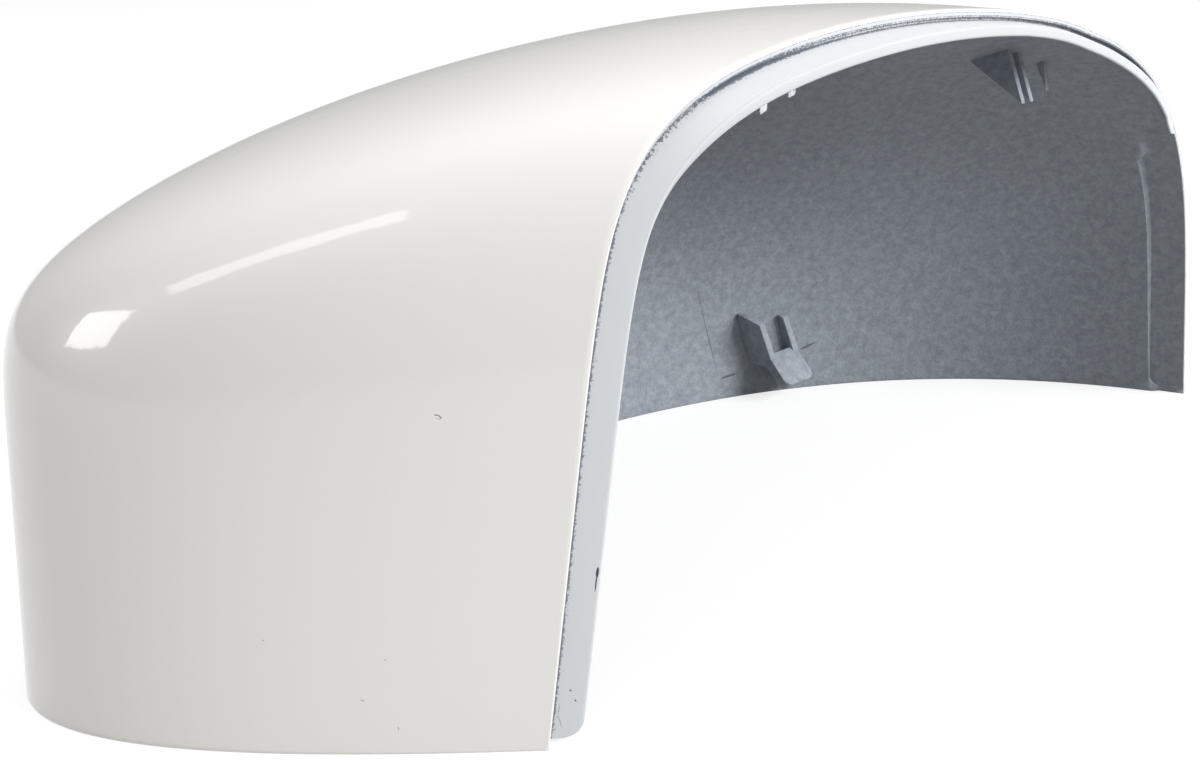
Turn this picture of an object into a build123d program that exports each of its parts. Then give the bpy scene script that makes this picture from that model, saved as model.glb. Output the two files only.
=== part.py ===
"""Cover cap of a car's door mirror: one moulded shell, open at the rear and below.

X runs outboard along the rim, Y runs forward and Z up. The shell stands on its lower edge.
The form is set in plan, round a crown point behind the rim: an outline with a tight nose, a roof
that falls away from the crown, and a shoulder between them whose fullness changes round the
outline. The rim has a stepped lip, and the inside has two clips and two locating nubs.
"""

import os
from math import cos, exp, log, pi, sin, sqrt

from build123d import *

# Plan outline at the lower edge
RIM_SPAN = 180.0            # between the feet of the rim, along X
FRONT_REACH = 80.1          # rim plane to the front wall, at the lower edge
CROWN_SETBACK = 20.7        # crown point behind the rim plane
CROWN_OFFSET = 11.2         # crown line outboard of mid-span, at the rim plane
CROWN_SWEEP = -0.68         # crown line, X for each mm of Y
INBOARD_FLARE = -1.06       # inboard end wall, X for each mm of Y
OUTBOARD_FLARE = -0.035     # outboard end wall, X for each mm of Y
INBOARD_ROUNDNESS = 3.08    # superellipse power of the outline at the nose
OUTBOARD_ROUNDNESS = 1.92   # superellipse power of the outline at the outboard end

# Roof heights
CROWN_HEIGHT = 80.4         # roof at mid-span of the rim plane
ROOF_TILT = -6.1            # roof at the outboard foot, against mid-span
ROOF_CAMBER = 14.0          # sag of the roof from mid-span to each foot
ROOF_RISE = 5.8             # first rise of the roof, from the rim plane to the front
ROOF_FALL = 22.6            # sag of the roof from the rim plane to the front
ROOF_TWIST = 1.8            # extra fall at the outboard front corner

# Walls: lean for each mm of height, and superellipse power of the shoulder under the roof
INBOARD_LEAN = 0.178
OUTBOARD_LEAN = -0.20
FRONT_LEAN = 0.12
INBOARD_SHOULDER = 9.0
NOSE_SHOULDER = 13.4
FRONT_SHOULDER = 2.65
OUTBOARD_SHOULDER = 5.8

# Shell, and the rim: a skin edge, a narrow groove and a lip that is set in and leans inward
WALL = 2.8
SKIN_EDGE = 1.2             # thickness of the skin at the rim, outside the groove
GROOVE_INBOARD = 0.4        # width of the groove between skin edge and lip
GROOVE_OUTBOARD = 0.9
GROOVE_DEPTH = 2.0
GROOVE_END_HEIGHT = 64.0    # the groove narrows down to this on the outboard leg
GROOVE_END_RUN = 8.0
LIP_REACH = 4.0             # lip behind the skin edge, along the skin, at the inboard half
LIP_REACH_OUTBOARD = 0.5    # the same, at the outboard corner
LIP_TAPER = (-15.0, 40.0)   # the reach falls from one to the other between these X
LIP_FALL = 1.0              # the lip leans inward by this at its full reach
LIP_THICKNESS = 1.6
LIP_ROOT = 3.0              # the lip's inner face starts in the wall, ahead of the rim by this
LIP_ROOT_SINK = 0.15        # and below the inner face by this
LIP_OVERLAP = 0.06          # the lip reaches into the groove's width by this before the groove is cut
LIP_FOOT = 0.7              # lip starts above the lower edge by this
LIP_CORNER = 2.2            # round of the lip's lower corner
LIP_CORNER_LIMIT = 0.8      # largest round, against the lip's reach
LIP_END_HEIGHT = 55.0       # the lip stops above this on the outboard leg
LEG_BAND_GAP = 2.0          # the thinned band inside the outboard leg starts below the lip by this
LEG_BAND_WIDTH = 6.5
LEG_BAND_DEPTH = 1.3
RIM_SECTIONS = 30           # sections of the lofts along the rim
TRIM_REACH = 16.0           # what is cut away behind the rim
TRIM_MARGIN = 4.0           # the cut runs past the wall, on both sides and below, by this

# Lower clip, inside the front wall
CLIP_X = 32.9               # middle of the clip
CLIP_WIDTH = 7.8            # over both ribs
CLIP_RIB = 2.0              # thickness of a rib
CLIP_SETBACK = 21.1         # rear edge of the ribs, back from the front reach
CLIP_FOOT = 8.6             # where the tongue leaves the ribs
CLIP_SHOULDER = 15.9        # upper end of the ribs' rear edge
CLIP_RAKE = 2.9             # the rear edge leans forward by this at the shoulder
CLIP_TOP_SLOPE = 0.3        # rise of the ribs' top for each mm forward
TONGUE_REACH = 4.2          # tongue behind the ribs
TONGUE_DROP = 4.6           # fall of the tongue over that reach
TONGUE_THICKNESS = 2.0

# Upper clip: fins under the roof, placed by X and by the drop from the crown height
FIN_X = 30.0
FIN_PITCH = 4.2
FIN_COUNT = 2
FIN_THICKNESS = 1.6
FIN_DROP = 17.6             # tip below the crown height
FIN_TIP = 8.1               # tip ahead of the rim plane
FIN_RAKE = 6.5              # rear edge leans forward by this over the drop
FIN_ROOT = 17.0             # length of the fin at the crown height
TOOTH_X = 41.0
TOOTH_DROP = 16.8
TOOTH_TIP = 9.8
TOOTH_RAKE = 2.4
TOOTH_ROOT = 6.0

# Locating nubs under the lip
NUB_SPOTS = (-53.6, -48.0)  # X of each nub
NUB_WIDTH = 1.8
NUB_DEPTH = 2.4
NUB_SETBACK = 0.6           # ahead of the lip's end
NUB_DROP = 2.6              # below the inner face of the wall

# Sampling of the formula into one smooth face
COLUMNS = 64
ROWS = 44
START_TURN = 5.5            # degrees off the crown point where the face starts
SHOULDER_BUNCHING = 0.45    # row spacing at the shoulder, against even rows
BELOW = 6.0                 # the face runs past the lower edge by this
FACE_TOLERANCE = 0.01
HALVINGS = 50               # of the search for the rim
FINE_STEPS = 300            # of the rim's length
FAN_MARGIN = 0.03           # the rim is followed past its feet by this share
STEP = 1e-4                 # for slopes of the formula

HALF_SPAN = RIM_SPAN / 2
OUTWARD = (0, 1, 1)         # side of the face that is outside
FAR = 2 * RIM_SPAN          # larger than the part, for cutting blocks
DETAIL_SINK = 0.7           # share of the wall that the inside details reach into
OUTSIDE = FRONT_REACH / 2   # depth of the layer over the outer face that trims the details


def along(values, side):
    """Smooth value round the outline through stations at side = 1, 0.5, -0.5 and -1."""
    stations = (1.0, 0.5, -0.5, -1.0)
    total = 0.0
    for station, value in zip(stations, values):
        weight = 1.0
        for other in stations:
            if other != station:
                weight *= (side - other) / (station - other)
        total += weight * value
    return total


def shoulder_power(side):
    """Fullness of the shoulder, from the outboard end (side 1) round to the inboard end (-1)."""
    powers = (OUTBOARD_SHOULDER, FRONT_SHOULDER, NOSE_SHOULDER, INBOARD_SHOULDER)
    return exp(along([log(power) for power in powers], side))


def superellipse(turn, power):
    """Point of a unit superellipse at a turn from its first axis."""
    a, b = cos(turn), sin(turn)
    size = (abs(a) ** power + abs(b) ** power) ** (1 / power)
    return a / size, b / size


def roof_height(x, y):
    """Height of the roof before the shoulder takes it down to the walls."""
    u = x / HALF_SPAN
    v = y / FRONT_REACH
    across = ROOF_TILT * u - ROOF_CAMBER * u * u
    ahead = (ROOF_RISE - ROOF_FALL * v - ROOF_TWIST * u) * v
    return CROWN_HEIGHT + across + ahead


def skin_point(bearing, turn):
    """Outer face at a bearing round the plan and a turn from the lower edge up to the crown."""
    side = cos(bearing)
    outline = OUTBOARD_ROUNDNESS + (INBOARD_ROUNDNESS - OUTBOARD_ROUNDNESS) * (1 - side) / 2
    across, ahead = superellipse(bearing, outline)
    out, up = superellipse(turn, shoulder_power(side))
    across, ahead = across * out, ahead * out
    y = ahead * (FRONT_REACH + CROWN_SETBACK) - CROWN_SETBACK
    crown = CROWN_OFFSET + CROWN_SWEEP * y
    wall = HALF_SPAN + OUTBOARD_FLARE * y
    lean = OUTBOARD_LEAN
    if across < 0:
        wall = -HALF_SPAN + INBOARD_FLARE * y
        lean = INBOARD_LEAN
    x = crown + abs(across) * (wall - crown)
    z = roof_height(x, y) * up
    return Vector(x + lean * z * across**2, y + FRONT_LEAN * z * ahead**2, z)


def skin_face():
    """The outer face as one smooth surface, from below the lower edge to near the crown."""
    bearings = [pi * i / (COLUMNS - 1) for i in range(COLUMNS)]
    last_turn = pi / 2 - START_TURN * pi / 180
    lower = [skin_point(bearing, 0.0) - Vector(0, 0, BELOW) for bearing in bearings]
    grid = [lower]
    for i in range(ROWS):
        s = 2 * i / (ROWS - 1) - 1
        bunched = s * (SHOULDER_BUNCHING + (1 - SHOULDER_BUNCHING) * s * s)
        turn = last_turn * (bunched + 1) / 2
        grid.append([skin_point(bearing, turn) for bearing in bearings])
    return Face.make_surface_from_array_of_points(grid, tol=FACE_TOLERANCE, min_deg=3, max_deg=5)


def layer(face, depth):
    """Solid between the outer face and a depth below it, or above it where depth is negative."""
    return Solid.thicken(face, -depth, normal_override=OUTWARD)


def block(low, high):
    """Box between two corners."""
    size = [b - a for a, b in zip(low, high)]
    return Pos(*low) * Box(*size, align=(Align.MIN, Align.MIN, Align.MIN))


def plate(outline, x, thickness):
    """Flat plate across X from an outline in Y and Z, centred on x."""
    sheet = Plane.YZ * make_face(Polyline(*outline, close=True))
    return Pos(x, 0, 0) * extrude(sheet, thickness / 2, both=True)


def rim_spot(fan):
    """Bearing and turn where the skin meets the rim plane, along one ray of a fan from foot to foot."""
    low, high = 0.0, sqrt(2.0)
    for _ in range(HALVINGS):
        middle = (low + high) / 2
        bearing = pi / 2 * (1 + middle * cos(fan))
        turn = pi / 2 * middle * sin(fan)
        if skin_point(bearing, turn).Y > 0:
            low = middle
        else:
            high = middle
    return bearing, turn


def rim_frame(fan):
    """Point of the rim, with the skin's outward normal and the way back along the skin."""
    bearing, turn = rim_spot(fan)
    by_bearing = skin_point(bearing + STEP, turn) - skin_point(bearing - STEP, turn)
    by_turn = skin_point(bearing, turn + STEP) - skin_point(bearing, turn - STEP)
    outward = by_bearing.cross(by_turn).normalized()
    ahead = skin_point(*rim_spot(fan - STEP))
    heading = skin_point(*rim_spot(fan + STEP)) - ahead
    back = outward.cross(heading).normalized()
    return skin_point(bearing, turn), outward, back if back.Y < 0 else back * -1


def rim_fans(first_height, last_height):
    """Fan angles spread evenly along the rim, between a height on each leg."""
    fine = [pi * (i / FINE_STEPS * (1 + 2 * FAN_MARGIN) - FAN_MARGIN) for i in range(FINE_STEPS + 1)]
    points = [skin_point(*rim_spot(fan)) for fan in fine]
    runs = [0.0]
    for a, b in zip(points, points[1:]):
        runs.append(runs[-1] + (b - a).length)
    top = max(range(len(points)), key=lambda i: points[i].Z)
    first = min(range(top), key=lambda i: abs(points[i].Z - first_height))
    last = min(range(top, len(points)), key=lambda i: abs(points[i].Z - last_height))
    fans = []
    for i in range(RIM_SECTIONS):
        run = runs[first] + (runs[last] - runs[first]) * i / (RIM_SECTIONS - 1)
        k = max(j for j in range(len(runs) - 1) if runs[j] <= run)
        share = (run - runs[k]) / (runs[k + 1] - runs[k])
        fans.append(fine[k] + (fine[k + 1] - fine[k]) * share)
    return fans


def rim_loft(fans, section):
    """Solid along the rim, from a section that gives way behind the rim and depth below the skin."""
    wires = []
    for fan in fans:
        point, outward, back = rim_frame(fan)
        corners = [point + back * way - outward * depth for way, depth in reversed(section(point))]
        wires.append(Wire.make_polygon(corners, close=True))
    return Solid.make_loft(wires)


def taper(x):
    """0 at the inboard half of the rim, 1 at its outboard corner."""
    share = (x - LIP_TAPER[0]) / (LIP_TAPER[1] - LIP_TAPER[0])
    share = min(1.0, max(0.0, share))
    return share * share * (3 - 2 * share)


def groove_width(point):
    """Width of the groove, which narrows again down the outboard leg."""
    width = GROOVE_INBOARD + (GROOVE_OUTBOARD - GROOVE_INBOARD) * taper(point.X)
    if point.X < 0:
        return width
    left = min(1.0, max(0.0, (point.Z - GROOVE_END_HEIGHT) / GROOVE_END_RUN))
    return GROOVE_INBOARD + (width - GROOVE_INBOARD) * left


def trim_section(point):
    """What lies behind the rim, square to the skin."""
    inner = WALL + TRIM_MARGIN
    return [(0, -TRIM_MARGIN), (TRIM_REACH, -TRIM_MARGIN), (TRIM_REACH, inner), (0, inner)]


def groove_section(point):
    """The slot between skin edge and lip."""
    inner = SKIN_EDGE + groove_width(point)
    return [(-GROOVE_DEPTH, SKIN_EDGE), (TRIM_MARGIN, SKIN_EDGE), (TRIM_MARGIN, inner), (-GROOVE_DEPTH, inner)]


def lip_section(point):
    """The lip, from its root in the wall to its end face."""
    share = 1 - taper(point.X) * (1 - LIP_REACH_OUTBOARD / LIP_REACH)
    root = SKIN_EDGE + groove_width(point) - LIP_OVERLAP
    outer = root + LIP_FALL * share
    start = root - LIP_FALL * LIP_ROOT / LIP_REACH
    return [
        (-LIP_ROOT, start), (LIP_REACH * share, outer), (LIP_REACH * share, outer + LIP_THICKNESS),
        (-LIP_ROOT, WALL - LIP_ROOT_SINK)
    ]


def trimmed_shell(face):
    """Wall of even thickness, cut at the lower edge and square to the skin at the rim."""
    room = block((-FAR, -TRIM_REACH / 2, 0), (FAR, FAR, FAR))
    return (layer(face, WALL) & room) - rim_loft(rim_fans(-TRIM_MARGIN, -TRIM_MARGIN), trim_section)


def finished_rim(shell, face):
    """Thinned band of the outboard leg, then the lip with its round lower corner, then the groove."""
    leg = block((0, -TRIM_REACH, 0), (FAR, LEG_BAND_WIDTH, LIP_END_HEIGHT - LEG_BAND_GAP))
    shell = (shell - leg) + (layer(face, WALL - LEG_BAND_DEPTH) & leg & shell)
    lip = rim_loft(rim_fans(-TRIM_MARGIN, LIP_END_HEIGHT), lip_section)
    lip &= block((-FAR, -FAR, LIP_FOOT), (FAR, FAR, FAR))
    corner = min(LIP_CORNER, LIP_REACH * LIP_CORNER_LIMIT)
    point, outward, back = rim_frame(rim_fans(LIP_FOOT, LIP_END_HEIGHT)[0])
    rear = (point + back * LIP_REACH).Y
    square = Pos(rear, LIP_FOOT) * Rectangle(2 * corner, 2 * corner)
    round_off = square - Pos(rear + corner, LIP_FOOT + corner) * Circle(corner)
    shell += lip - extrude(Plane.YZ * round_off, -FAR)
    return shell - rim_loft(rim_fans(-TRIM_MARGIN, GROOVE_END_HEIGHT), groove_section)


def lower_clip():
    """Two ribs on the front wall, joined at the foot by a sloping tongue."""
    rear = FRONT_REACH - CLIP_SETBACK
    top = CLIP_SHOULDER + CLIP_TOP_SLOPE * (FRONT_REACH - rear - CLIP_RAKE)
    base = CLIP_FOOT - TONGUE_THICKNESS
    rib = [(FRONT_REACH, base), (rear, base), (rear, CLIP_FOOT)]
    rib += [(rear + CLIP_RAKE, CLIP_SHOULDER), (FRONT_REACH, top)]
    spread = (CLIP_WIDTH - CLIP_RIB) / 2
    clip = plate(rib, CLIP_X - spread, CLIP_RIB) + plate(rib, CLIP_X + spread, CLIP_RIB)
    slope = Vector(-TONGUE_REACH, -TONGUE_DROP).normalized()
    under = Vector(-slope.Y, slope.X) * TONGUE_THICKNESS
    tip = Vector(rear - TONGUE_REACH, CLIP_FOOT - TONGUE_DROP)
    tongue = [(rear + CLIP_RAKE, CLIP_FOOT), (rear, CLIP_FOOT), (tip.X, tip.Y)]
    tongue += [(tip.X + under.X, tip.Y + under.Y), (rear + CLIP_RAKE, base)]
    return clip + plate(tongue, CLIP_X, CLIP_WIDTH)


def fin(x, drop, tip, rake, root):
    """Three-cornered fin hanging from the roof, tip down."""
    rear = tip + rake
    outline = [(tip, CROWN_HEIGHT - drop), (rear, CROWN_HEIGHT), (rear + root, CROWN_HEIGHT)]
    return plate(outline, x, FIN_THICKNESS)


def upper_clip():
    """Fins under the roof, with a short tooth beside them."""
    clip = fin(TOOTH_X, TOOTH_DROP, TOOTH_TIP, TOOTH_RAKE, TOOTH_ROOT)
    for i in range(FIN_COUNT):
        clip += fin(FIN_X + i * FIN_PITCH, FIN_DROP, FIN_TIP, FIN_RAKE, FIN_ROOT)
    return clip


def nubs(face):
    """Small blocks under the lip, from the middle of its end to their drop below the wall."""
    middle = SKIN_EDGE + GROOVE_INBOARD + LIP_FALL + LIP_THICKNESS / 2
    depth = layer(face, WALL + NUB_DROP) - layer(face, middle)
    rear = NUB_SETBACK - LIP_REACH
    blocks = []
    for x in NUB_SPOTS:
        low = (x - NUB_WIDTH / 2, rear, CROWN_HEIGHT / 2)
        blocks.append(block(low, (x + NUB_WIDTH / 2, rear + NUB_DEPTH, FAR)) & depth)
    return blocks[0] + blocks[1:]


def mirror_cover():
    """The whole moulding, with its box standing on the origin."""
    face = skin_face()
    cover = finished_rim(trimmed_shell(face), face)
    inside = lower_clip() + upper_clip()
    inside -= layer(face, -OUTSIDE) + layer(face, WALL * DETAIL_SINK)
    cover += inside + nubs(face)
    box = cover.bounding_box()
    middle = box.center()
    return Pos(-middle.X, -middle.Y, -box.min.Z) * cover


os.makedirs("parts", exist_ok=True)
cover = mirror_cover()
export_step(cover, "parts/mirror_cover.step")
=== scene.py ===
# %% [markdown]
# # A door mirror's cover cap
#
# The object is one moulding: a thin plastic shell that covers the back of a car's door mirror.
# It is open at the rear, where the mirror glass sits, and below. Outside it has gloss off-white
# paint, inside it is bare grey plastic with clips. This lesson builds it again as clean quads on
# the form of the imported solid, because gloss paint shows every facet of a loose mesh.

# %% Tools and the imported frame
from math import pi, radians

import bmesh
import bpy
import numpy as np
from mathutils import Matrix, Vector
from mathutils.bvhtree import BVHTree


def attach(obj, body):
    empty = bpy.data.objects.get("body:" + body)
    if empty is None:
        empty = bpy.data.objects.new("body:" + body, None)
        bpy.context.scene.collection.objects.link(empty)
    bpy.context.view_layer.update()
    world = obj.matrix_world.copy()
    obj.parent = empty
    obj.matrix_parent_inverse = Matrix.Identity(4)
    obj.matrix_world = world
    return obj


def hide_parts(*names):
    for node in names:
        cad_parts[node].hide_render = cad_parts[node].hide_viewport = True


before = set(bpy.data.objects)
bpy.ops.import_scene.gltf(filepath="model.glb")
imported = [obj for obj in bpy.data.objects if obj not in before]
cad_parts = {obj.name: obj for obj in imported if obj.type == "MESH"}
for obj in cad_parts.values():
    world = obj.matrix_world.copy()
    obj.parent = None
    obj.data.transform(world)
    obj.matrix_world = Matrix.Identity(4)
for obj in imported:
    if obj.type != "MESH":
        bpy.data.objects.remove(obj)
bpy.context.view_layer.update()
MM = 0.001

# %% [markdown]
# ## The form of the outer skin
#
# The real cap is a free form, but a few plain rules give it: a plan outline with a tight nose, a
# roof that falls from its crown, and a shoulder between wall and roof that is tight at the nose
# and soft at the front. A bearing goes round the plan and a turn goes from the lower edge up to
# the crown. The values are the solid's own, in millimetres. Only close to the crown is the roof
# kept fuller than the solid's, so that the line of the rim runs smooth.

# %% Skin values
RIM_SPAN = 180.0
FRONT_REACH = 80.1
CROWN_SETBACK = 20.7
CROWN_OFFSET = 11.2
CROWN_SWEEP = -0.68
INBOARD_FLARE = -1.06
OUTBOARD_FLARE = -0.035
INBOARD_ROUNDNESS = 3.08
OUTBOARD_ROUNDNESS = 1.92
CROWN_HEIGHT = 80.4
ROOF_TILT = -6.1
ROOF_CAMBER = 14.0
ROOF_RISE = 5.8
ROOF_FALL = 22.6
ROOF_TWIST = 1.8
INBOARD_LEAN = 0.178
OUTBOARD_LEAN = -0.20
FRONT_LEAN = 0.12
SHOULDERS = (5.8, 2.65, 13.4, 9.0)      # outboard end, front, nose, inboard end
SHOULDER_STATIONS = (1.0, 0.5, -0.5, -1.0)
CROWN_POWER = 3.8           # the roof close to the crown is at least this flat
CROWN_RING = (0.22, 0.46)   # and that fades out between these cosines of the turn
HALF_SPAN = RIM_SPAN / 2
INSIDE = np.array([0.0, 20.0, 20.0])    # a point in the hollow, to tell outward normals
SLOPE_STEP = 1e-4


# %% Skin point and outward normal
def soft_step(value, start, end):
    """Share that rises smoothly from zero at the start to one at the end."""
    share = np.clip((value - start) / (end - start), 0.0, 1.0)
    return share * share * (3 - 2 * share)


def shoulder_power(side):
    """Tightness of the shoulder, on a smooth curve through the four given ones."""
    total = 0.0
    for station, power in zip(SHOULDER_STATIONS, SHOULDERS):
        weight = 1.0
        for other in SHOULDER_STATIONS:
            if other != station:
                weight = weight * (side - other) / (station - other)
        total = total + weight * np.log(power)
    return np.exp(total)


def superellipse(turn, power):
    """Point on a rounded square: a circle at power 2, squarer above it."""
    a, b = np.cos(turn), np.sin(turn)
    size = (np.abs(a) ** power + np.abs(b) ** power) ** (1 / power)
    return a / size, b / size


def skin(bearing, turn):
    """Points of the outer skin, measured from the middle of the rim."""
    side = np.cos(bearing)
    outline = OUTBOARD_ROUNDNESS + (INBOARD_ROUNDNESS - OUTBOARD_ROUNDNESS) * (1 - side) / 2
    across, ahead = superellipse(bearing, outline)
    power = shoulder_power(side)
    near_crown = 1 - soft_step(np.cos(turn), *CROWN_RING)
    power = power + np.maximum(CROWN_POWER - power, 0.0) * near_crown
    out, up = superellipse(turn, power)
    across, ahead = across * out, ahead * out
    y = ahead * (FRONT_REACH + CROWN_SETBACK) - CROWN_SETBACK
    crown = CROWN_OFFSET + CROWN_SWEEP * y
    inboard = across < 0
    wall = np.where(inboard, -HALF_SPAN + INBOARD_FLARE * y, HALF_SPAN + OUTBOARD_FLARE * y)
    lean = np.where(inboard, INBOARD_LEAN, OUTBOARD_LEAN)
    x = crown + np.abs(across) * (wall - crown)
    u, v = x / HALF_SPAN, y / FRONT_REACH
    roof = CROWN_HEIGHT + ROOF_TILT * u - ROOF_CAMBER * u * u
    z = (roof + (ROOF_RISE - ROOF_FALL * v - ROOF_TWIST * u) * v) * up
    return np.stack([x + lean * z * across**2, y + FRONT_LEAN * z * ahead**2, z], -1)


def skin_slopes(bearing, turn):
    """Change of the skin point by bearing and by turn."""
    step = SLOPE_STEP
    by_bearing = (skin(bearing + step, turn) - skin(bearing - step, turn)) / (2 * step)
    by_turn = (skin(bearing, turn + step) - skin(bearing, turn - step)) / (2 * step)
    return by_bearing, by_turn


def skin_normal(bearing, turn):
    normal = np.cross(*skin_slopes(bearing, turn))
    normal = normal / np.linalg.norm(normal, axis=-1, keepdims=True)
    outward = np.sum(normal * (skin(bearing, turn) - INSIDE), -1, keepdims=True)
    return normal * np.sign(outward)


print("crown of the skin is", round(float(skin(pi / 2, pi / 2)[2]), 1), "mm high")

# %% [markdown]
# ## Stations along the rim
#
# The rim is the rear edge of the painted skin: an arch that stands on two feet. It is found where
# the skin meets the rim plane, and it is cut into even stations by its own length, with a few
# close ones at the inboard foot for the small round of the lip. The lower edge gets as many
# stations, so each pair of stations can carry one strip of quads from the rim to the ground.

# %% Rim curve
LIP_FOOT = 0.7              # the lip starts this far above the ground, with a round corner
LIP_CORNER = 2.2
STATION_PITCH = 1.05
FOOT_STATIONS = 9
FOOT_GAP = 0.01             # keeps the first station of the round apart from the one below it
RIM_SAMPLES = 6000
HALVINGS = 60
FAN_END = 2**0.5            # a ray of the fan ends here, past the lower edge and the crown


def rim_spot(fan):
    """Bearing and turn where the skin meets the rim plane, for each angle of a fan of rays."""
    low, high = np.zeros_like(fan), np.full_like(fan, FAN_END)
    for _ in range(HALVINGS):
        middle = (low + high) / 2
        bearing = pi / 2 * (1 + middle * np.cos(fan))
        turn = pi / 2 * middle * np.sin(fan)
        ahead = skin(bearing, turn)[..., 1] > 0
        low, high = np.where(ahead, middle, low), np.where(ahead, high, middle)
    return bearing, turn


def lengths(points):
    """Length of a line of points, from its start to each of them."""
    steps = np.linalg.norm(np.diff(points, axis=0), axis=-1)
    return np.concatenate([[0.0], np.cumsum(steps)])


fine_fan = np.linspace(0.0, pi, RIM_SAMPLES)
rim_run = lengths(skin(*rim_spot(fine_fan)))
foot_arc = LIP_FOOT + LIP_CORNER * (1 - np.cos(np.linspace(0.0, pi / 2, FOOT_STATIONS)))
foot_arc[0] += FOOT_GAP
even = np.arange(foot_arc[-1] + STATION_PITCH, rim_run[-1], STATION_PITCH)
stations = np.concatenate([[0.0, LIP_FOOT], foot_arc, even[:-1], [rim_run[-1]]])
fans = np.interp(stations, rim_run, fine_fan)
rim_bearing, rim_turn = rim_spot(fans)
rim = skin(rim_bearing, rim_turn)
rim_outward = skin_normal(rim_bearing, rim_turn)
rim_heading = skin(*rim_spot(fans + SLOPE_STEP)) - skin(*rim_spot(fans - SLOPE_STEP))
rim_back = np.cross(rim_outward, rim_heading)
rim_back *= -np.sign(rim_back[:, 1:2]) / np.linalg.norm(rim_back, axis=-1, keepdims=True)
print("rim is", round(rim_run[-1], 1), "mm long, in", len(stations), "stations")

# %% Lower edge at each station
EDGE_SAMPLES = 4000

fine_edge = np.linspace(rim_bearing[0], rim_bearing[-1], EDGE_SAMPLES)
edge_run = lengths(skin(fine_edge, np.zeros_like(fine_edge)))
edge_bearing = np.interp(stations / rim_run[-1] * edge_run[-1], edge_run, fine_edge)
print("lower edge is", round(edge_run[-1], 1), "mm long")

# %% [markdown]
# ## Lip and groove
#
# Behind the rim a lip slips into the mirror's frame, parted from the skin by a narrow groove. Both
# change along the rim: the lip is long inboard and runs out on the outboard leg, where the wall is
# thinned instead. So each size is a list with one value for each station, shaped by soft steps.

# %% Lip at each station
LIP_REACH = 4.0
LIP_REACH_OUTBOARD = 0.5
LIP_TAPER = (-45.0, 50.0)   # the reach falls from one to the other between these X
LIP_END_HEIGHT = 58.0       # the lip ends at this height on the outboard leg
LIP_END_RUN = 1.5

outboard, height = rim[:, 0] > 0, rim[:, 2]
side = soft_step(rim[:, 0], *LIP_TAPER)
lift = stations - LIP_FOOT
corner = np.clip(LIP_CORNER - lift, 0.0, LIP_CORNER)
corner_cut = np.where(outboard, 0.0, LIP_CORNER - np.sqrt(LIP_CORNER**2 - corner**2))
lip_end = soft_step(height, LIP_END_HEIGHT, LIP_END_HEIGHT + LIP_END_RUN)
lip_share = np.where(outboard, lip_end, lift > 0)
reach = (LIP_REACH + (LIP_REACH_OUTBOARD - LIP_REACH) * side - corner_cut) * lip_share
print("lip reaches", round(reach.max(), 2), "mm behind the rim")

# %% Groove and thinned leg at each station
GROOVE_INBOARD = 0.4        # width of the groove between skin edge and lip
GROOVE_OUTBOARD = 0.9
GROOVE_TAPER = (10.0, 60.0)     # the width grows from one to the other between these X
GROOVE_END_HEIGHT = 64.0    # the groove narrows again and ends here on the outboard leg
GROOVE_END_RUN = 8.0
GROOVE_STOP_RUN = 1.0
GROOVE_TOP = (-70.0, -30.0)     # outboard of these X the groove is shallow and caught some paint
LEG_BAND_GAP = 2.0          # the thinned band inside the outboard leg starts below the lip by this
LEG_BAND_EDGE = 1.6

ending = np.where(outboard, np.clip((height - GROOVE_END_HEIGHT) / GROOVE_END_RUN, 0.0, 1.0), 1.0)
groove_taper = soft_step(rim[:, 0], *GROOVE_TAPER)
groove = GROOVE_INBOARD + (GROOVE_OUTBOARD - GROOVE_INBOARD) * groove_taper * ending
groove_top = soft_step(rim[:, 0], *GROOVE_TOP)
groove_stop = soft_step(height, GROOVE_END_HEIGHT, GROOVE_END_HEIGHT + GROOVE_STOP_RUN)
groove_share = np.where(outboard, groove_stop, 1.0)
leg_top = LIP_END_HEIGHT - LEG_BAND_GAP
leg_share = np.where(outboard, 1 - soft_step(height, leg_top - LEG_BAND_EDGE, leg_top), 0.0)
print("groove is", round(groove.min(), 2), "to", round(groove.max(), 2), "mm wide")

# %% [markdown]
# ## One section, carried along the rim
#
# Cut across the rim, the moulding is a closed loop: up the painted skin, round its edge, into a
# narrow groove and out again, back along the leaning lip, round its end and down the inner face to
# the lower edge. Two numbers place a point of the loop: its way along the skin, where zero is the
# rim, and its depth below the skin. Its edges get a real round, so that they catch the light. A
# grid that is bent into this loop is welded where it closes, and each row keeps its own finish.

# %% Way along each strip
WAY_SAMPLES = 260

ways = np.linspace(0.0, 1.0, WAY_SAMPLES)
way_bearing = edge_bearing + (rim_bearing - edge_bearing) * ways[:, None]
way_turn = rim_turn * ways[:, None]
way_run = np.stack([lengths(column) for column in skin(way_bearing, way_turn).transpose(1, 0, 2)])
drop = way_run[:, -1]
print("strips are", round(drop.min(), 2), "to", round(drop.max(), 1), "mm long")

# %% Sizes of the section at each station
WALL = 2.8
SKIN_EDGE = 1.2             # thickness of the skin at the rim, outside the groove
EDGE_ROUND = 0.35
GROOVE_ROUND = 0.15
GROOVE_DEPTH = 2.0
GROOVE_TOP_DEPTH = 0.8
GROOVE_TOP_PAINT = 0.5
LEG_BAND_DEPTH = 1.3
LIP_LEAN = 0.25             # fall of the lip inward, for each mm of reach
LIP_THICKNESS = 1.6
LIP_BACK = 2.4              # the lip's inner face runs out into the wall, ahead of the rim by this
INNER_NEAR = 6.0            # close rows on the inner face, this far from the rim

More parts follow.
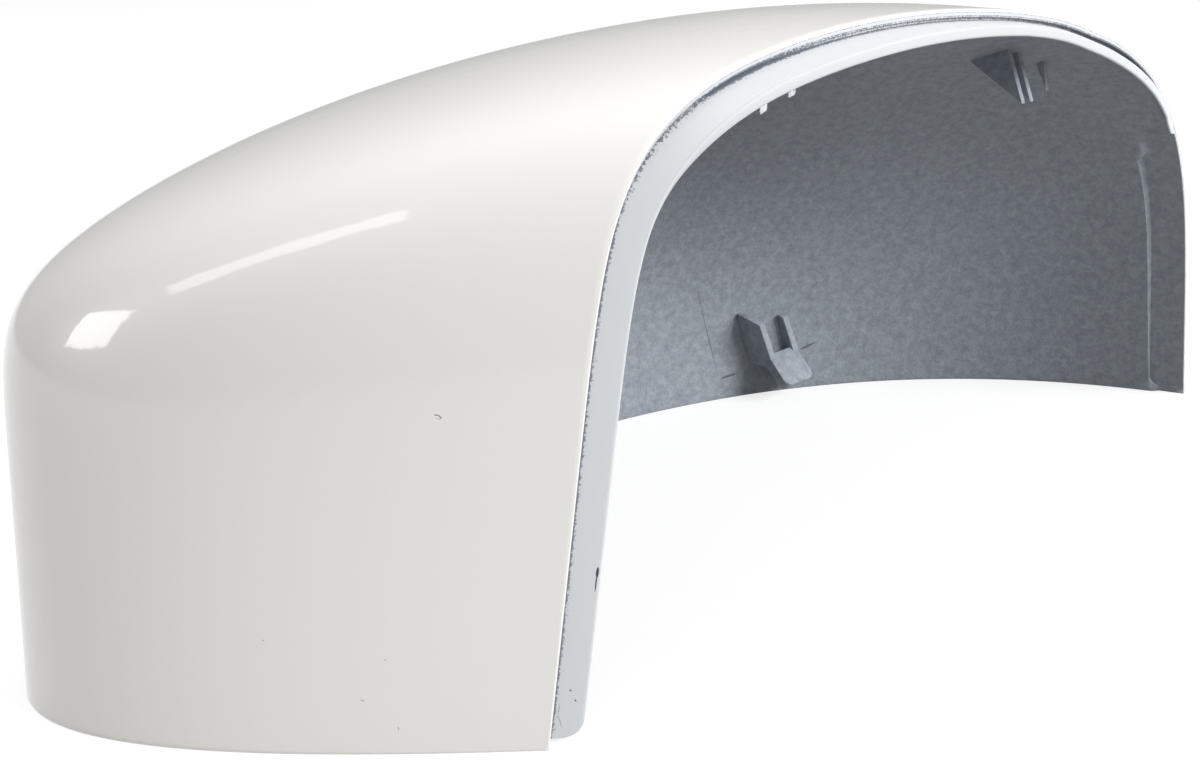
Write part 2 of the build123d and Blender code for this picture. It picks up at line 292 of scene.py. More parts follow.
# At the feet the strips get short, so a size takes no more than a part of the room that is there.
edge = np.minimum(EDGE_ROUND, drop / 4)
zero = np.zeros_like(drop)
wall = WALL - LEG_BAND_DEPTH * leg_share
deep = GROOVE_DEPTH + (GROOVE_TOP_DEPTH - GROOVE_DEPTH) * groove_top
deep = np.minimum(deep, drop / 3) * groove_share
# darkness of the groove rows: bare plastic with painted shade, less where the groove is shallow on top
groove_dark_share = 1 - GROOVE_TOP_PAINT * groove_top * (1 - groove_taper)
lap = np.minimum(GROOVE_ROUND, deep / 3)
root = SKIN_EDGE + groove * np.maximum(groove_share, lip_share)
end_outer = root + LIP_LEAN * reach
end_inner = wall + (end_outer + LIP_THICKNESS - wall) * lip_share
tip = np.minimum(EDGE_ROUND, np.minimum(reach / 3, (end_inner - end_outer) / 3))
back = np.minimum(EDGE_ROUND, np.minimum((drop + reach) / 4, (end_inner - end_outer) / 3))
run_out = np.minimum(LIP_BACK, drop / 3)
near = np.minimum(INNER_NEAR, drop / 2)
print("groove is", round(deep.max(), 2), "mm deep at the most")

# %% Rows of the loop
SKIN_ROWS = 84
INNER_NEAR_ROWS = 12
INNER_ROWS = 62
ROUND_STEPS = 3
LIP_SHARES = (0.0, 0.03, 0.07, 0.12, 0.2, 0.35, 0.55, 0.78, 1.0)
LIP_BARE_AND_SHADE = (1.0, 0.9, 0.6, 0.35, 0.15, 0.05, 0.0, 0.0, 0.0)     # share of bare plastic, with painted shade of the corner behind the skin edge
END_SHARES = (0.05, 0.16, 0.28, 0.70, 0.84)
END_BARE = (0.0, 0.75, 0.0, 0.0, 0.75)
GROOVE_SHARES = (0.0, 1.0)
PAINT, LIP, BARE = 0, 1, 2

quarter = np.linspace(0.0, pi / 2, ROUND_STEPS + 1)
skin_shares = np.linspace(0, 1, SKIN_ROWS + 2)[1:-1]
near_shares = np.linspace(0, 1, INNER_NEAR_ROWS + 1)[1:]
inner_shares = np.linspace(0, 1, INNER_ROWS + 1)[1:-1]
rows = []


def round_rows(way, depth, from_way, from_depth, finish, bare=0.0):
    """Quarter round about a centre: the two vectors give its start and its end, seen from there."""
    for angle in quarter:
        s, c = np.sin(angle), np.cos(angle)
        row_way = way + from_way[0] * c + from_way[1] * s
        row_depth = depth + from_depth[0] * c + from_depth[1] * s
        rows.append((row_way, row_depth, finish, bare))


def plain_rows(start, end, shares, finish, dark_shares=None):
    """Rows between two spots of the loop, each given as way and depth."""
    for i, share in enumerate(shares):
        way, depth = (a + (b - a) * share for a, b in zip(start, end))
        rows.append((way, depth, finish, dark_shares[i] if dark_shares else 0.0))


round_rows(edge - drop, edge, (-edge, zero), (zero, -edge), PAINT)
plain_rows((edge - drop, zero), (-edge, zero), skin_shares, PAINT)
round_rows(-edge, edge, (zero, edge), (-edge, zero), PAINT)
plain_rows((zero, edge), (zero, SKIN_EDGE - lap), END_SHARES, LIP, END_BARE)
round_rows(-lap, SKIN_EDGE - lap, (lap, zero), (zero, lap), LIP, groove_dark_share)
plain_rows((-deep, zero + SKIN_EDGE), (-deep, root), GROOVE_SHARES, LIP, (groove_dark_share, groove_dark_share))
plain_rows((zero, root), (reach - tip, end_outer - LIP_LEAN * tip), LIP_SHARES, LIP, LIP_BARE_AND_SHADE)
round_rows(reach - tip, end_outer + tip, (zero, tip), (-tip, zero), LIP)
round_rows(reach - back, end_inner - back, (back, zero), (zero, back), LIP)
plain_rows((reach - back, end_inner), (-run_out, wall), near_shares, BARE)
plain_rows((-run_out, wall), (-run_out - near, wall), near_shares, BARE)
plain_rows((-run_out - near, zero + WALL), (edge - drop, zero + WALL), inner_shares, BARE)
round_rows(edge - drop, WALL - edge, (zero, -edge), (edge, zero), BARE)
rows.append((-drop, zero + SKIN_EDGE, LIP, 0.0))
print("section has", len(rows), "rows at", len(drop), "stations")

# %% Points of the section
FOOT_BLEND = 9.0            # lower stretch in which the section is made flat to the ground
LEG_BAND_WIDTH = 4.6
ROW_SHIFT = np.array([19.420, -40.171, 0.0])    # from the rim's middle to that of the solid's box


def strip_spots(way):
    """Bearing and turn on each station's strip, at a way ahead of the rim."""
    bearing, turn = np.empty_like(way), np.empty_like(way)
    for k, value in enumerate(way):
        share = np.interp(min(value, 0.0) + drop[k], way_run[k], ways)
        bearing[k] = edge_bearing[k] + (rim_bearing[k] - edge_bearing[k]) * share
        turn[k] = rim_turn[k] * share
    return bearing, turn


def section_points(way, depth, finish):
    """Points of one row at all stations, in metres and in the frame of the solid."""
    bearing, turn = strip_spots(way)
    normal = np.where(way[:, None] > 0, rim_outward, skin_normal(bearing, turn))
    surface = skin(bearing, turn) + rim_back * np.maximum(way, 0.0)[:, None]
    if finish == BARE:
        band = soft_step(LEG_BAND_WIDTH + LEG_BAND_EDGE - surface[:, 1], 0.0, LEG_BAND_EDGE)
        below = 1 - soft_step(surface[:, 2], leg_top - LEG_BAND_EDGE, leg_top)
        band = band * (surface[:, 0] > 0) * below
        depth = np.where(way <= 0, np.minimum(depth, WALL - LEG_BAND_DEPTH * band), depth)
    point = surface - depth[:, None] * normal
    bias = point[:, 2] - surface[:, 2]
    point[:, 2] -= bias * (1 - soft_step(surface[:, 2], 0.0, FOOT_BLEND))
    return (point + ROW_SHIFT) * MM


section = [section_points(way, depth, finish) for way, depth, finish, _ in rows]
lowest = min(float(points[:, 2].min()) for points in section)
print("lowest point of the section", round(lowest / MM, 3), "mm")

# %% Grid bent into the shell
GRID_HALF = 0.5
WELD = 2e-7
SLIVER = 1e-8
SHARP_ANGLE = 38

shell_mesh = bpy.data.meshes.new("cover_shell")
bm = bmesh.new()
across_count, row_count = len(stations) - 1, len(rows)
bmesh.ops.create_grid(bm, x_segments=across_count, y_segments=row_count, size=GRID_HALF)
# each row's share of darkening: bare plastic, and painted shade along the groove
bare_and_shade_layer = bm.verts.layers.float.new("bare_and_shade_share")
row_of = {}
for vert in bm.verts:
    column = round((vert.co.x + GRID_HALF) * across_count)
    row = round((vert.co.y + GRID_HALF) * row_count) % row_count
    row_of[vert] = row
    vert.co = Vector(section[row][column])
    vert[bare_and_shade_layer] = (rows[row][3] + zero)[column]
for face in bm.faces:
    used = sorted({row_of[vert] for vert in face.verts})
    first = used[-1] if used[-1] - used[0] > 1 else used[0]
    face.material_index = rows[first][2]
    face.smooth = True
bmesh.ops.remove_doubles(bm, verts=bm.verts, dist=WELD)
bmesh.ops.dissolve_degenerate(bm, edges=bm.edges, dist=SLIVER)
bmesh.ops.recalc_face_normals(bm, faces=bm.faces)
open_edges = sum(1 for e in bm.edges if e.is_boundary)
inner_tree = BVHTree.FromBMesh(bm)
bm.to_mesh(shell_mesh)
shell_mesh.set_sharp_from_angle(angle=radians(SHARP_ANGLE))
cover_shell = bpy.data.objects.new("cover_shell", shell_mesh)
bpy.context.collection.objects.link(cover_shell)
volume = round(bm.calc_volume() / MM**3)
print("shell has", len(bm.faces), "faces, open edges", open_edges, "volume", volume, "mm3")
bm.free()

# %% [markdown]
# ## The clips inside
#
# The moulding's inside has a lower clip on the front wall, two thin ribs with a sloping tongue,
# and fins under the roof that hook behind the mirror's body. Each is drawn as a flat outline,
# extruded to its thickness and given small bevels. Where an outline meets the wall, a ray finds
# the inner face, and the outline is sunk a little way into the wall so that no gap shows.

# %% Plates from outlines
SINK = 1.2
PLATE_BEVEL = 0.22
CLIP_FOOT = 8.6             # where the tongue leaves the ribs


def row_point(x, y, z):
    """Point in the frame of the solid, from one measured from the middle of the rim."""
    return (Vector((x, y, z)) + Vector(ROW_SHIFT)) * MM


def to_wall(start, direction):
    """Where a ray from a point in the hollow meets the inner face, sunk into the wall."""
    origin, heading = row_point(*start), Vector(direction).normalized()
    hit = inner_tree.ray_cast(origin, heading)[0]
    return (hit + heading * SINK * MM) / MM - Vector(ROW_SHIFT)


def grow_plate(bm, verts, way):
    """Face over some points, extruded one way, with bevelled edges."""
    face = bmesh.ops.contextual_create(bm, geom=verts)["faces"][0]
    grown = bmesh.ops.extrude_face_region(bm, geom=[face])["geom"]
    moved = [item for item in grown if isinstance(item, bmesh.types.BMVert)]
    bmesh.ops.translate(bm, verts=moved, vec=way)
    edges = {edge for vert in verts + moved for edge in vert.link_edges}
    bmesh.ops.bevel(bm, geom=list(edges), offset=PLATE_BEVEL * MM, offset_type="OFFSET", segments=2,
                    profile=0.5, affect="EDGES", material=-1, clamp_overlap=True)


def add_plate(bm, outline, x, thickness, lean=0.0):
    """Flat plate across X from points in Y and Z, which may lean inboard from the clip's foot up."""
    verts = []
    for y, z in outline:
        verts.append(bm.verts.new(row_point(x - thickness / 2 + lean * (z - CLIP_FOOT), y, z)))
    grow_plate(bm, verts, Vector((thickness * MM, 0, 0)))


def finish_piece(bm, name):
    """Object from a finished bmesh, with outward faces and smooth shading."""
    bmesh.ops.recalc_face_normals(bm, faces=bm.faces)
    for face in bm.faces:
        face.smooth = True
    mesh = bpy.data.meshes.new(name)
    bm.to_mesh(mesh)
    mesh.set_sharp_from_angle(angle=radians(SHARP_ANGLE))
    piece = bpy.data.objects.new(name, mesh)
    bpy.context.collection.objects.link(piece)
    print(name, "has", len(bm.faces), "faces")
    bm.free()
    return piece


# %% [markdown]
# ## The lower clip
#
# Two ribs stand on the front wall and carry a tongue that snaps over the mirror's body. The ribs
# could be boxes, but an outline gives their raked edge and sloping top at once. The tongue is one
# outline too, so that its free corners can be round.

# %% Lower clip
CLIP_X = 34.5
CLIP_WIDTH = 9.2
CLIP_RIB = 1.7
CLIP_SETBACK = 21.1
CLIP_SHOULDER = 15.9
CLIP_RAKE = 1.2
CLIP_LEAN = -0.30           # the ribs lean inboard, X for each mm of height
CLIP_TOP_SLOPE = 0.3
TONGUE_REACH = 4.2
TONGUE_DROP = 4.6
TONGUE_THICKNESS = 2.0
TONGUE_ROUND = 1.7
TONGUE_INSET = 0.08
TONGUE_STEPS = 6            # points on each round corner of the tongue

clip_rear = FRONT_REACH - CLIP_SETBACK
clip_base = CLIP_FOOT - TONGUE_THICKNESS
bm = bmesh.new()
for side_sign in (-1, 1):
    rib_x = CLIP_X + side_sign * (CLIP_WIDTH - CLIP_RIB) / 2
    shoulder = (clip_rear + CLIP_RAKE, CLIP_SHOULDER)
    low = to_wall((rib_x, clip_rear, clip_base), (0, 1, 0))
    high = to_wall((rib_x, *shoulder), (0, 1, CLIP_TOP_SLOPE))
    outline = [(low.y, low.z), (clip_rear, clip_base), (clip_rear, CLIP_FOOT)]
    outline += [shoulder, (high.y, high.z)]
    add_plate(bm, outline, rib_x, CLIP_RIB, CLIP_LEAN)

slope = Vector((-TONGUE_REACH, -TONGUE_DROP)).normalized()
under = Vector((0, -slope.y, slope.x)) * TONGUE_THICKNESS * MM
run = Vector((TONGUE_REACH, TONGUE_DROP)).length
half = CLIP_WIDTH / 2 - TONGUE_INSET
outline = [(-half, -CLIP_RAKE), (half, -CLIP_RAKE)]
for side_sign, start in ((1, 0.0), (-1, pi / 2)):
    for angle in np.linspace(start, start + pi / 2, TONGUE_STEPS):
        across = side_sign * (half - TONGUE_ROUND) + TONGUE_ROUND * np.cos(angle)
        outline.append((across, run - TONGUE_ROUND + TONGUE_ROUND * np.sin(angle)))
verts = []
for across, along in outline:
    spot = (CLIP_X + across, clip_rear + slope.x * along, CLIP_FOOT + slope.y * along)
    verts.append(bm.verts.new(row_point(*spot)))
grow_plate(bm, verts, under)
lower_clip = finish_piece(bm, "lower_clip")

# %% [markdown]
# ## Fins under the roof
#
# Two fins and a short tooth hang from the roof and hook into the mirror's body. Each is a flat
# triangle: one corner is its tip, and two rays from there give its root. So the fin ends in the
# roof, whatever the roof's form.

# %% Upper clip
FIN = (17.6, 8.1, 6.5)      # tip below the crown height, tip ahead of the rim, rake of the rear edge
TOOTH = (16.8, 9.8, 2.4)
FINS = ((30.0, 22.0, FIN), (32.8, 17.0, FIN), (41.0, 6.0, TOOTH))   # X, run of the root, form
FIN_THICKNESS = 1.2

bm = bmesh.new()
for x, root_run, (hang, tip_y, rake) in FINS:
    tip_z = CROWN_HEIGHT - hang
    rear = to_wall((x, tip_y, tip_z), (0, rake, hang))
    front = to_wall((x, tip_y, tip_z), (0, rake + root_run, hang))
    add_plate(bm, [(tip_y, tip_z), (rear.y, rear.z), (front.y, front.z)], x, FIN_THICKNESS)
upper_clip = finish_piece(bm, "upper_clip")

# %% [markdown]
# ## Nubs under the lip
#
# Two small blocks under the lip locate the cap on the mirror's frame. A plain cube would stand off
# the curved lip or cut through it, so each corner of its top is found by a ray of its own.

# %% Nubs under the lip
NUB_SPOTS = (-53.6, -48.0)
NUB_CORNERS = ((-0.5, 0.0), (0.5, 0.0), (0.5, 1.0), (-0.5, 1.0))    # shares of width and depth
NUB_WIDTH = 1.5
NUB_DEPTH = 2.4
NUB_DROP = 1.0
NUB_SETBACK = 1.1
NUB_SINK = 0.4
NUB_BARE = 0.4

bm = bmesh.new()
for x in NUB_SPOTS:
    verts = []
    for u, v in NUB_CORNERS:
        foot = (x + u * NUB_WIDTH, NUB_SETBACK - LIP_REACH + v * NUB_DEPTH, CROWN_HEIGHT / 2)
        top = to_wall(foot, (0, 0, 1))
        verts.append(bm.verts.new(row_point(top.x, top.y, top.z - SINK + NUB_SINK)))
    grow_plate(bm, verts, Vector((0, 0, -NUB_DROP - NUB_SINK)) * MM)
bare_and_shade_layer = bm.verts.layers.float.new("bare_and_shade_share")
for vert in bm.verts:
    vert[bare_and_shade_layer] = NUB_BARE
nubs = finish_piece(bm, "locating_nubs")

# %% [markdown]
# ## The camera
#
# The camera's place, turn and lens come from a fit of the skin to the object's outline. It is set
# before the finishes, because flaws are placed where the picture shows them: a ray through a pixel
# finds the spot on the shell.

# %% Camera
LENS = 45.66
SENSOR = 36.0
CLIP_START = 0.01
CAMERA_PLACE = (-0.18007, -0.15577, 0.09840)
CAMERA_HEADING = -46.0
CAMERA_PITCH = 18.06
CAMERA_ROLL = -1.13

camera_data = bpy.data.cameras.new("camera")
camera_data.lens = LENS
camera_data.sensor_width = SENSOR
camera_data.sensor_fit = "HORIZONTAL"
camera_data.clip_start = CLIP_START
camera = bpy.data.objects.new("camera", camera_data)
bpy.context.collection.objects.link(camera)
aim = Matrix.Rotation(radians(CAMERA_HEADING), 4, "Z")
aim = aim @ Matrix.Rotation(radians(90 - CAMERA_PITCH), 4, "X")
aim = aim @ Matrix.Rotation(radians(CAMERA_ROLL), 4, "Z")
camera.matrix_world = Matrix.Translation(CAMERA_PLACE) @ aim
bpy.context.scene.camera = camera
print("camera is", round(Vector(CAMERA_PLACE).length, 3), "m from the origin")

# %% Spot on the shell that the picture shows
PICTURE = (1200, 761)


def seen_at(x, y):
    """Point and normal of the shell at a pixel of the picture."""
    ray = Vector((x - PICTURE[0] / 2, PICTURE[1] / 2 - y, -LENS / SENSOR * PICTURE[0]))
    heading = (aim.to_3x3() @ ray).normalized()
    point, normal = inner_tree.ray_cast(Vector(CAMERA_PLACE), heading)[:2]
    return point, normal


middle_spot = seen_at(PICTURE[0] / 2, PICTURE[1] / 2)[0]
print("middle of the picture shows", [round(c, 3) for c in middle_spot])

# %% [markdown]
# ## Finishes
#
# Three finishes share the moulding: gloss paint outside, a mist of paint on the lip, and bare
# plastic inside. Pictures could be wrapped round it, but noise needs none and holds up at any
# distance. A flaw is a mask: a thin ellipsoid between two spots of the shell, which stays in its
# place from any side. Each helper below adds one kind of node.

# %% Node helpers
MIX_SHARE, MIX_FIRST, MIX_SECOND, MIX_RESULT = 0, 6, 7, 2      # colour sockets of a mix node


def new_finish(name):
    material = bpy.data.materials.new(name)
    material.use_nodes = True
    nodes, links = material.node_tree.nodes, material.node_tree.links
    return material, nodes, links, nodes["Principled BSDF"]


def noise(nodes, links, vector, scale, detail=2.0, roughness=0.5):
    node = nodes.new("ShaderNodeTexNoise")
    node.inputs["Scale"].default_value = scale
    node.inputs["Detail"].default_value = detail
    node.inputs["Roughness"].default_value = roughness
    links.new(vector, node.inputs["Vector"])
    return node.outputs["Fac"]


def remap(nodes, links, value, low, high, to_low=0.0, to_high=1.0):
    """Smooth step of a socket from one range to another."""
    node = nodes.new("ShaderNodeMapRange")
    node.interpolation_type = "SMOOTHSTEP"
    ends = {"From Min": low, "From Max": high, "To Min": to_low, "To Max": to_high}
    for name, number in ends.items():
        node.inputs[name].default_value = number
    links.new(value, node.inputs["Value"])
    return node.outputs["Result"]


def blend(nodes, links, share, first, second):
    """Mix of two colours, each given as a colour or as a socket."""
    node = nodes.new("ShaderNodeMix")
    node.data_type = "RGBA"
    for value, place in ((first, MIX_FIRST), (second, MIX_SECOND)):
        if isinstance(value, tuple):
            node.inputs[place].default_value = (*value, 1.0)
        else:
            links.new(value, node.inputs[place])
    links.new(share, node.inputs[MIX_SHARE])
    return node.outputs[MIX_RESULT]


def bump(nodes, links, height, distance, under=None):
    node = nodes.new("ShaderNodeBump")
    node.inputs["Strength"].default_value = 1.0
    node.inputs["Distance"].default_value = distance
    links.new(height, node.inputs["Height"])
    if under is not None:
        links.new(under, node.inputs["Normal"])
    return node.outputs["Normal"]


def calc(nodes, links, operation, *values):
    """Sum on sockets and plain numbers."""
    node = nodes.new("ShaderNodeMath")
    node.operation = operation
    for socket, value in zip(node.inputs, values):
        if isinstance(value, float):
            socket.default_value = value
        else:
            links.new(value, socket)
    return node.outputs[0]


def most(nodes, links, values):
    """Masks joined into one."""
    joined = values[0]
    for value in values[1:]:
        joined = calc(nodes, links, "MAXIMUM", joined, value)
    return joined


# %% Marks between pixels of the picture
MARK_DEPTH = 1.0
MARK_SOFT = 0.5             # share of a mark's width that fades out


def mark(nodes, links, place, start, end, width, soft=MARK_SOFT):
    """Mask of a thin mark between two pixels of the picture: one on the mark, zero away from it."""
    (a, normal), (b, _) = seen_at(*start), seen_at(*end)
    along = (b - a).normalized()
    across = normal.cross(along).normalized()
    lie = Matrix((along, across, along.cross(across))).transposed()
    half_run = (b - a).length / 2 + width * MM
    half_depth = MARK_DEPTH * MM + width * MM
    node = nodes.new("ShaderNodeMapping")
    node.vector_type = "TEXTURE"
    node.inputs["Location"].default_value = (a + b) / 2
    node.inputs["Rotation"].default_value = lie.to_euler()
    node.inputs["Scale"].default_value = (half_run, width * MM, half_depth)
    links.new(place, node.inputs["Vector"])
    size = nodes.new("ShaderNodeVectorMath")
    size.operation = "LENGTH"
    links.new(node.outputs["Vector"], size.inputs[0])
    return remap(nodes, links, size.outputs["Value"], 1 - soft, 1.0, 1.0, 0.0)


def marks(nodes, links, place, spots, soft=MARK_SOFT):
    """Mask of several marks: each has two pixels and a half width in mm."""
    return most(nodes, links, [mark(nodes, links, place, *spot, soft) for spot in spots])


# %% [markdown]
# ## Gloss paint
#
# The real skin is sprayed off-white and then clear. A base colour under the shader's clear coat does
# the same, with a faint orange peel in both. A dimple and a few dust specks sit on the wall, as
# masks, because they are far smaller than the quads.

# %% Gloss paint
PAINT_WHITE = (0.745, 0.735, 0.71)
PAINT_SHADE = (0.71, 0.70, 0.675)
PAINT_CLOUD = 18.0
PAINT_ROUGHNESS = 0.4
COAT_ROUGHNESS = 0.06
PEEL = 420.0
PEEL_HEIGHT = 0.02
DIMPLE = ((435, 416), (440, 418), 0.25)
DIMPLE_DEPTH = 0.3
DUST = (0.30, 0.29, 0.27)
DUST_SPECKS = (
    ((361, 700), (364, 701), 0.10),
    ((398, 727), (399, 730), 0.09),
    ((384, 660), (386, 660), 0.08),
    ((262, 640), (264, 641), 0.08),
)

paint, nodes, links, shader = new_finish("gloss_paint")
place = nodes.new("ShaderNodeTexCoord").outputs["Object"]
cloud = noise(nodes, links, place, PAINT_CLOUD)
colour = blend(nodes, links, cloud, PAINT_WHITE, PAINT_SHADE)
dust = marks(nodes, links, place, DUST_SPECKS)
links.new(blend(nodes, links, dust, colour, DUST), shader.inputs["Base Color"])
peeled = bump(nodes, links, noise(nodes, links, place, PEEL), PEEL_HEIGHT * MM)
dimple = mark(nodes, links, place, *DIMPLE)
dimpled = bump(nodes, links, dimple, -DIMPLE_DEPTH * MM, peeled)
links.new(dimpled, shader.inputs["Normal"])
links.new(dimpled, shader.inputs["Coat Normal"])
shader.inputs["Roughness"].default_value = PAINT_ROUGHNESS
shader.inputs["Coat Weight"].default_value = 1.0
shader.inputs["Coat Roughness"].default_value = COAT_ROUGHNESS
print(paint.name, "has a dimple and", len(DUST_SPECKS), "dust specks")

# %% [markdown]
# ## Misted lip
#
# The lip only caught mist from the spray gun, so it is thinner and bluer. Along the groove it is
# darkened: dark bare plastic shows there, and painted shade of the corner behind the skin edge is
# added to it. Each row of the shell's grid holds how dark it is, and noise breaks that up into
# speckles, so that they follow the groove all along the rim. A chip and a scratch lie on the near leg.

# %% Misted lip
MIST_WHITE = (0.54, 0.555, 0.57)
# dark of bare plastic, made darker as painted shade in the groove and the corner behind the skin edge
MIST_DARK_AND_SHADE = (0.17, 0.19, 0.225)
MIST_ROUGHNESS = 0.38
SPECKLE = (2600.0, 3.0, 0.7)        # scale, detail and roughness of the noise
SPECKLE_EDGE = (0.74, 0.82)
LIP_DARKNESS_WEIGHT = 0.5          # weight of the bare plastic and painted shade against the noise
SPREAD_POWER = 0.3          # at one corner the dark speckles reach far out from the groove
SPREAD_SHARE = 0.5
SPREAD_BASE = -0.2
SPREAD_CORNER = ((612, 210), (700, 108), 7.0)
CHIP_DARK = (0.03, 0.03, 0.035)
CHIP_SOFT = 0.3
CHIP = (((598, 568), (597, 577), 0.22), ((597, 574), (595, 592), 0.10))
LIP_SPECKS = (((570, 690), (571, 691), 0.10), ((575, 700), (576, 701), 0.10))
SCRATCH_GREY = (0.28, 0.29, 0.31)
LIP_SCRATCH = (((560, 703), (558, 716), 0.07), ((558, 714), (562, 729), 0.07))

mist, nodes, links, shader = new_finish("misted_lip")
place = nodes.new("ShaderNodeTexCoord").outputs["Object"]
speckle = noise(nodes, links, place, *SPECKLE)
bare_and_shade_share = nodes.new("ShaderNodeAttribute")
bare_and_shade_share.attribute_name = "bare_and_shade_share"
spread_mask = mark(nodes, links, place, *SPREAD_CORNER)
lip_darkness = calc(nodes, links, "MULTIPLY", bare_and_shade_share.outputs["Fac"], LIP_DARKNESS_WEIGHT)
spread = calc(nodes, links, "POWER", bare_and_shade_share.outputs["Fac"], SPREAD_POWER)
spread = calc(nodes, links, "MULTIPLY_ADD", spread, SPREAD_SHARE, SPREAD_BASE)
change = calc(nodes, links, "SUBTRACT", spread, lip_darkness)
lip_darkness = calc(nodes, links, "MULTIPLY_ADD", change, spread_mask, lip_darkness)
dark = remap(nodes, links, calc(nodes, links, "ADD", lip_darkness, speckle), *SPECKLE_EDGE)
chips = marks(nodes, links, place, CHIP + LIP_SPECKS, CHIP_SOFT)
scratch = marks(nodes, links, place, LIP_SCRATCH)
colour = blend(nodes, links, scratch, MIST_WHITE, SCRATCH_GREY)
colour = blend(nodes, links, dark, colour, MIST_DARK_AND_SHADE)
colour = blend(nodes, links, chips, colour, CHIP_DARK)
links.new(colour, shader.inputs["Base Color"])
shader.inputs["Roughness"].default_value = MIST_ROUGHNESS
print(mist.name, "has a chip, a scratch and", len(LIP_SPECKS), "specks")

# %% [markdown]
# ## Bare plastic
#
# The inside has the fine grain of a spark-eroded mould. A coarse noise makes the patchy grey, and a
# fine one gives the grain its height, which is too fine for real geometry. Dark lines are the
# traces of the mould's inserts.

# %% Bare plastic
PLASTIC = (0.20, 0.222, 0.255)
PLASTIC_LIGHT = (0.36, 0.39, 0.43)
PLASTIC_ROUGHNESS = 0.55
PATCHES = (650.0, 6.0, 0.8)         # scale, detail and roughness of the noise
PATCH_EDGE = (0.25, 0.75)
GRAIN = (2600.0, 3.0, 0.6)
GRAIN_HEIGHT = 0.06
WITNESS = (0.10, 0.112, 0.128)
WITNESS_LINES = (
    ((672, 150), (697, 284), 0.25),
    ((695, 274), (719, 379), 0.25),
    ((719, 379), (738, 373), 0.3),
    ((787, 135), (810, 300), 0.2),
    ((799, 350), (816, 342), 0.3),
)

bare, nodes, links, shader = new_finish("bare_plastic")
place = nodes.new("ShaderNodeTexCoord").outputs["Object"]
patches = remap(nodes, links, noise(nodes, links, place, *PATCHES), *PATCH_EDGE)
colour = blend(nodes, links, patches, PLASTIC, PLASTIC_LIGHT)
lines = marks(nodes, links, place, WITNESS_LINES)
links.new(blend(nodes, links, lines, colour, WITNESS), shader.inputs["Base Color"])
grain = noise(nodes, links, place, *GRAIN)
links.new(bump(nodes, links, grain, GRAIN_HEIGHT * MM), shader.inputs["Normal"])
shader.inputs["Roughness"].default_value = PLASTIC_ROUGHNESS
print(bare.name, "has", len(WITNESS_LINES), "witness lines of the mould")

# %% Finishes on the pieces
for finish in (paint, mist, bare):
    shell_mesh.materials.append(finish)
for piece in (lower_clip, upper_clip):
    piece.data.materials.append(bare)
nubs.data.materials.append(mist)
print("finishes:", [m.name for m in shell_mesh.materials])

# %% [markdown]
# ## Floor
#
# The picture has a white ground. A white floor in strong light would throw much of it up into the
# hollow, so this one is grey, and it glows only for rays from the camera, a reflection or glass.
# So it looks white and keeps the object's shadow.

# %% Floor
FLOOR_SIZE = 6.0
FLOOR_GREY = (0.28, 0.28, 0.28, 1.0)
FLOOR_ROUGHNESS = 0.9
FLOOR_GLOW = 0.76
WHITE = (1.0, 1.0, 1.0, 1.0)
GLOW_RAYS = ("Is Camera Ray", "Is Glossy Ray", "Is Transmission Ray")

floor_mesh = bpy.data.meshes.new("floor")
bm = bmesh.new()
bmesh.ops.create_grid(bm, x_segments=1, y_segments=1, size=FLOOR_SIZE / 2)
bm.to_mesh(floor_mesh)
bm.free()
floor = bpy.data.objects.new("floor", floor_mesh)
bpy.context.collection.objects.link(floor)

ground, nodes, links, shader = new_finish("white_ground")
shader.inputs["Base Color"].default_value = FLOOR_GREY
shader.inputs["Roughness"].default_value = FLOOR_ROUGHNESS
ray = nodes.new("ShaderNodeLightPath")
seen = most(nodes, links, [ray.outputs[name] for name in GLOW_RAYS])
links.new(calc(nodes, links, "MULTIPLY", seen, FLOOR_GLOW), shader.inputs["Emission Strength"])
shader.inputs["Emission Color"].default_value = WHITE
floor_mesh.materials.append(ground)
print("floor is", FLOOR_SIZE, "m wide")

# %% [markdown]
# ## Light
#
# An even world light fills the shadows. Three broad lamps, overhead, at the rear and on the left,
# light the forms but stay out of reflections. Two more on the left are there for the gloss alone: a
# streak along the shoulder and a bright patch on the nose. One set of lamps could do both, but then
# each change to a reflection would change the shade as well.

# %% World
WORLD_STRENGTH = 0.46

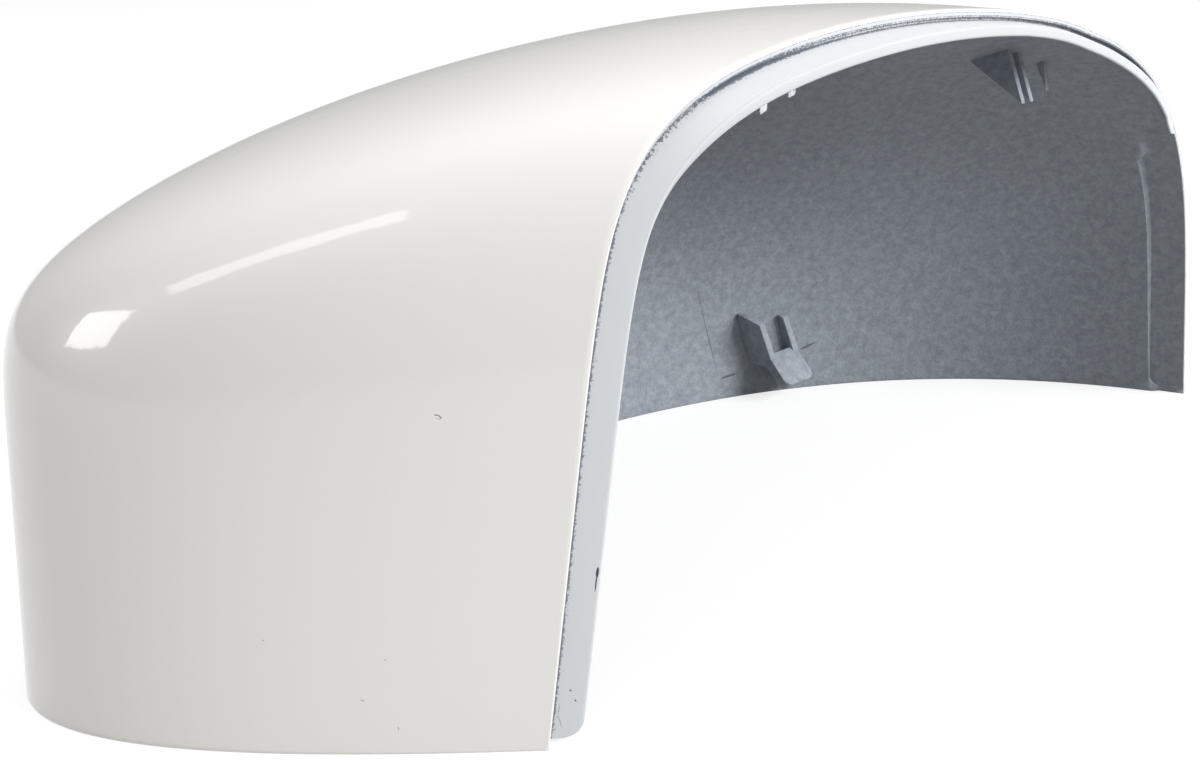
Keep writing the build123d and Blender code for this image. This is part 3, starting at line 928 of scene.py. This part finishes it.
scene = bpy.context.scene
scene.view_settings.view_transform = "Standard"
world = bpy.data.worlds.new("studio")
scene.world = world
world.use_nodes = True
background = world.node_tree.nodes["Background"]
background.inputs["Color"].default_value = WHITE
background.inputs["Strength"].default_value = WORLD_STRENGTH
print("world light has strength", WORLD_STRENGTH)

# %% Lamps
AIM = Vector((-0.06, 0.0, 0.045))


def soft_box(name, azimuth, elevation, distance, width, height, watts, roll=0.0):
    """Area lamp that looks at the object from a compass bearing and a height, in degrees."""
    lamp = bpy.data.lights.new(name, "AREA")
    lamp.shape = "RECTANGLE"
    lamp.size, lamp.size_y, lamp.energy = width, height, watts
    box = bpy.data.objects.new(name, lamp)
    bpy.context.collection.objects.link(box)
    a, e = radians(azimuth), radians(elevation)
    heading = Vector((np.sin(a) * np.cos(e), np.cos(a) * np.cos(e), np.sin(e)))
    box.location = AIM + heading * distance
    tilt = heading.to_track_quat("Z", "Y").to_matrix() @ Matrix.Rotation(radians(roll), 3, "Z")
    box.rotation_euler = tilt.to_euler()
    return box


form_lamps = (
    soft_box("overhead_box", azimuth=20, elevation=75, distance=1.3, width=1.2, height=0.9, watts=8.5),
    soft_box("rear_box", azimuth=155, elevation=25, distance=1.3, width=0.7, height=0.4, watts=22.0),
    soft_box("left_fill", azimuth=-72, elevation=15, distance=1.4, width=0.9, height=0.6, watts=4.2),
)
for box in form_lamps:
    box.visible_glossy = False
gloss_lamps = (
    soft_box("left_box", azimuth=-94, elevation=38, distance=1.2, width=0.6, height=0.15, watts=1.0,
             roll=40),
    soft_box("nose_box", azimuth=-69, elevation=15, distance=1.0, width=0.3, height=0.24, watts=1.6),
)
for box in gloss_lamps:
    box.visible_diffuse = False
print("lamps:", [box.name for box in form_lamps + gloss_lamps])

# %% [markdown]
# ## Pieces on the body
#
# All pieces are one moulding, so they ride on the only body, and the shell stands for its solid.

# %% Bodies and the hidden solid
for piece in (cover_shell, lower_clip, upper_clip, nubs):
    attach(piece, "root")
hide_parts("mirror_cover")
